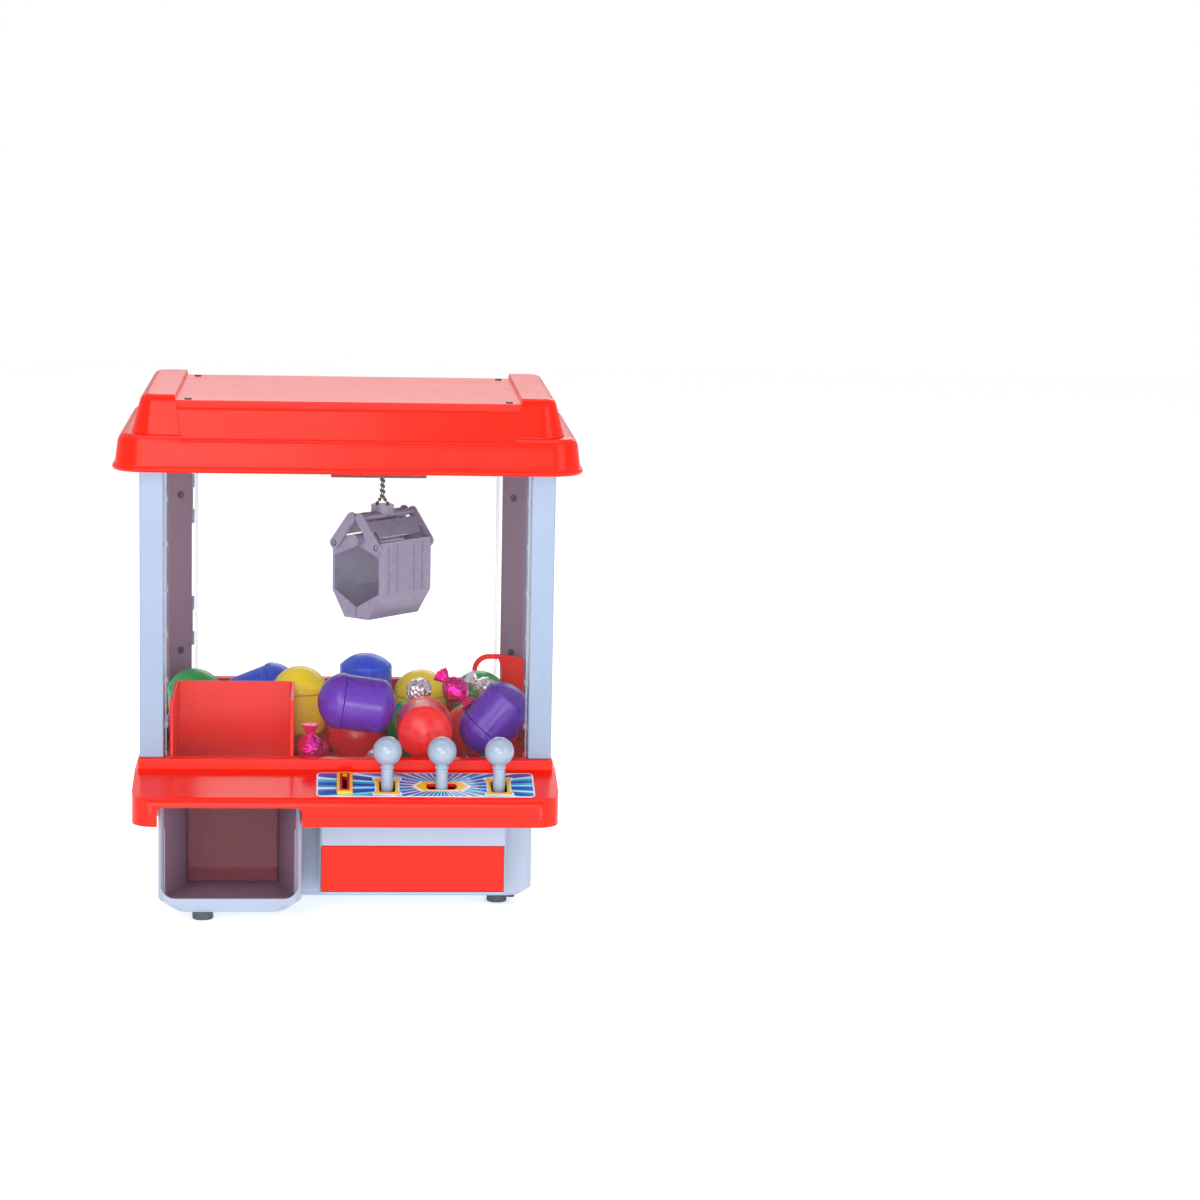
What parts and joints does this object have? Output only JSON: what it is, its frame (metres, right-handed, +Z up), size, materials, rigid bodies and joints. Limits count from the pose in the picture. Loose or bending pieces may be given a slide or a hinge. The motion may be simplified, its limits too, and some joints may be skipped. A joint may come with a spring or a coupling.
{
  "type": "claw crane machine",
  "caption": "Tabletop claw crane game: red roof and deck, clear cabin, grey base, joysticks, token drawer, prize chute and a two-jaw claw on a bead chain under a travelling trolley.",
  "frame": {"origin": "centre of the footprint of the overall box, on the table", "axes": "+X to the machine's right seen from the front, +Y towards the rear, +Z up"},
  "size_m": [0.317, 0.252, 0.352],
  "materials": {
    "red_plastic": "glossy injection-moulded red",
    "pale_plastic": "satin pale blue-grey",
    "grey_plastic": "satin grey",
    "claw_plastic": "satin lavender-grey",
    "white_plastic": "satin white",
    "knob_plastic": "glossy pale blue-white",
    "yellow_plastic": "glossy yellow",
    "printed_sheet": "printed gloss film with rays",
    "clear_plastic": "clear polystyrene",
    "capsule_colours": "glossy coloured",
    "capsule_lids": "glossy coloured",
    "sweet_foil": "metallic foil wrap",
    "dark_plastic": "satin dark grey",
    "foot_rubber": "matt rubber",
    "black_plastic": "matt black",
    "steel": "plated",
    "chain_steel": "nickel-plated beads",
    "motor_can": "drawn can",
    "contact_brass": "bright",
    "board_green": "solder mask",
    "cell_jacket": "plain printed jacket",
    "wire_jacket": "soft jacket"
  },
  "bodies": {
    "cabinet": {"base_shell": "grey_plastic", "base_ledge": "grey_plastic", "bottom_plate": "grey_plastic", "feet": "foot_rubber", "deck": "red_plastic", "tray": "red_plastic", "prize_partition": "red_plastic", "prize_chute": "grey_plastic", "pins": "steel", "control_sheet": "printed_sheet", "token_bezel": "yellow_plastic", "token_duct": "grey_plastic", "drawer_runners": "pale_plastic", "joystick_mounts": "pale_plastic", "leaf_switches": "contact_brass", "control_board": "board_green", "speaker": "black_plastic", "battery_box": "pale_plastic", "battery_cells": "cell_jacket", "battery_contacts": "steel", "front_posts": "pale_plastic", "rear_posts": "pale_plastic", "post_covers": "pale_plastic", "post_wires": "wire_jacket", "front_window": "clear_plastic", "side_windows": "clear_plastic", "roof_shell": "red_plastic", "roof_frame": "grey_plastic", "screws": "steel", "bridge_rails": "steel", "capsule_cups": "capsule_colours", "capsule_lids": "capsule_lids", "sweets": "sweet_foil"},
    "prize_flap": {"prize_flap": "clear_plastic"},
    "token_lever": {"token_lever": "white_plastic"},
    "token_drawer": {"token_drawer": "red_plastic"},
    "joystick_1": {"joystick_1": "white_plastic", "knob_1": "knob_plastic"},
    "joystick_2": {"joystick_2": "white_plastic", "knob_2": "knob_plastic"},
    "joystick_3": {"joystick_3": "white_plastic", "knob_3": "knob_plastic"},
    "battery_door": {"battery_door": "grey_plastic"},
    "power_switch": {"power_switch": "black_plastic"},
    "rear_door": {"rear_door": "clear_plastic"},
    "bridge": {"bridge": "pale_plastic", "bridge_rods": "steel", "bridge_motor": "motor_can"},
    "bridge_pinion": {"bridge_pinion": "white_plastic"},
    "trolley": {"trolley": "dark_plastic", "trolley_motor": "motor_can", "winch_motor": "motor_can", "hoist_chain": "chain_steel"},
    "trolley_pinion": {"trolley_pinion": "white_plastic"},
    "winch_drum": {"winch_drum": "white_plastic"},
    "claw_hub": {"claw_hub": "claw_plastic", "claw_links": "claw_plastic"},
    "claw_block": {"claw_block": "claw_plastic"},
    "jaw_left": {"jaw_left": "claw_plastic"},
    "jaw_right": {"jaw_right": "claw_plastic"}
  },
  "joints": [
    {"name": "prize_flap_hinge", "type": "hinge", "parent": "cabinet", "child": "prize_flap", "pos_m": [-0.07675, -0.0795, 0.075], "axis": [1, 0, 0], "range_deg": [-55, 0]},
    {"name": "token_lever_pivot", "type": "hinge", "parent": "cabinet", "child": "token_lever", "pos_m": [-0.001, -0.1, 0.084], "axis": [1, 0, 0], "range_deg": [0, 30], "stiffness_Nm_per_rad": 0.0001},
    {"name": "token_drawer_slide", "type": "slide", "parent": "cabinet", "child": "token_drawer", "axis": [0, -1, 0], "range_m": [0, 0.06]},
    {"name": "joystick_1_tilt", "type": "hinge", "parent": "cabinet", "child": "joystick_1", "pos_m": [0.0275, -0.104, 0.076], "axis": [1, 0, 0], "range_deg": [-13, 13], "stiffness_Nm_per_rad": 0.05},
    {"name": "joystick_2_tilt", "type": "hinge", "parent": "cabinet", "child": "joystick_2", "pos_m": [0.0643, -0.104, 0.076], "axis": [0, 1, 0], "range_deg": [-13, 13], "stiffness_Nm_per_rad": 0.05},
    {"name": "joystick_3_tilt", "type": "hinge", "parent": "cabinet", "child": "joystick_3", "pos_m": [0.103, -0.104, 0.076], "axis": [1, 0, 0], "range_deg": [-13, 13], "stiffness_Nm_per_rad": 0.05},
    {"name": "battery_door_hinge", "type": "hinge", "parent": "cabinet", "child": "battery_door", "pos_m": [0.051, 0.1068, 0.012], "axis": [1, 0, 0], "range_deg": [-90, 0]},
    {"name": "power_switch_slide", "type": "slide", "parent": "cabinet", "child": "power_switch", "axis": [1, 0, 0], "range_m": [0, 0.004]},
    {"name": "rear_door_hinge", "type": "hinge", "parent": "cabinet", "child": "rear_door", "pos_m": [-0.113, 0.1102, 0.2], "axis": [0, 0, 1], "range_deg": [0, 100]},
    {"name": "bridge_slide", "type": "slide", "parent": "cabinet", "child": "bridge", "axis": [0, 1, 0], "range_m": [-0.028, 0.027]},
    {"name": "bridge_pinion_spin", "type": "hinge", "parent": "bridge", "child": "bridge_pinion", "pos_m": [0.131, 0.049, 0.325], "axis": [1, 0, 0], "range_deg": [-300, 300]},
    {"name": "trolley_slide", "type": "slide", "parent": "bridge", "child": "trolley", "axis": [1, 0, 0], "range_m": [-0.102, 0.049]},
    {"name": "trolley_pinion_spin", "type": "hinge", "parent": "trolley", "child": "trolley_pinion", "pos_m": [0.032, -0.0134, 0.329], "axis": [0, 1, 0], "range_deg": [-500, 1000]},
    {"name": "hoist", "type": "slide", "parent": "trolley", "child": "claw_hub", "axis": [0, 0, -1], "range_m": [0, 0.038], "deforming": ["hoist_chain"]},
    {"name": "winch_drum_spin", "type": "hinge", "parent": "trolley", "child": "winch_drum", "pos_m": [0.034, 0.012, 0.3035], "axis": [0, 1, 0], "range_deg": [-240, 10]},
    {"name": "grip", "type": "slide", "parent": "claw_hub", "child": "claw_block", "axis": [0, 0, -1], "range_m": [0, 0.0089]},
    {"name": "jaw_right_hinge", "type": "hinge", "parent": "claw_block", "child": "jaw_right", "pos_m": [0.024, 0.012, 0.2455], "axis": [0.6691, 0.7431, 0], "range_deg": [0, 25]},
    {"name": "jaw_left_hinge", "type": "hinge", "parent": "claw_block", "child": "jaw_left", "pos_m": [0.024, 0.012, 0.2455], "axis": [0.6691, 0.7431, 0], "range_deg": [-25, 0]}
  ],
  "couplings": [
    {"joint": "bridge_pinion_spin", "follows": "bridge_slide", "rad_per_m": -166.67},
    {"joint": "trolley_pinion_spin", "follows": "trolley_slide", "rad_per_m": -166.67},
    {"joint": "winch_drum_spin", "follows": "hoist", "rad_per_m": -100},
    {"joint": "jaw_right_hinge", "follows": "grip", "rad_per_m": 47.26},
    {"joint": "jaw_left_hinge", "follows": "grip", "rad_per_m": -47.26}
  ]
}
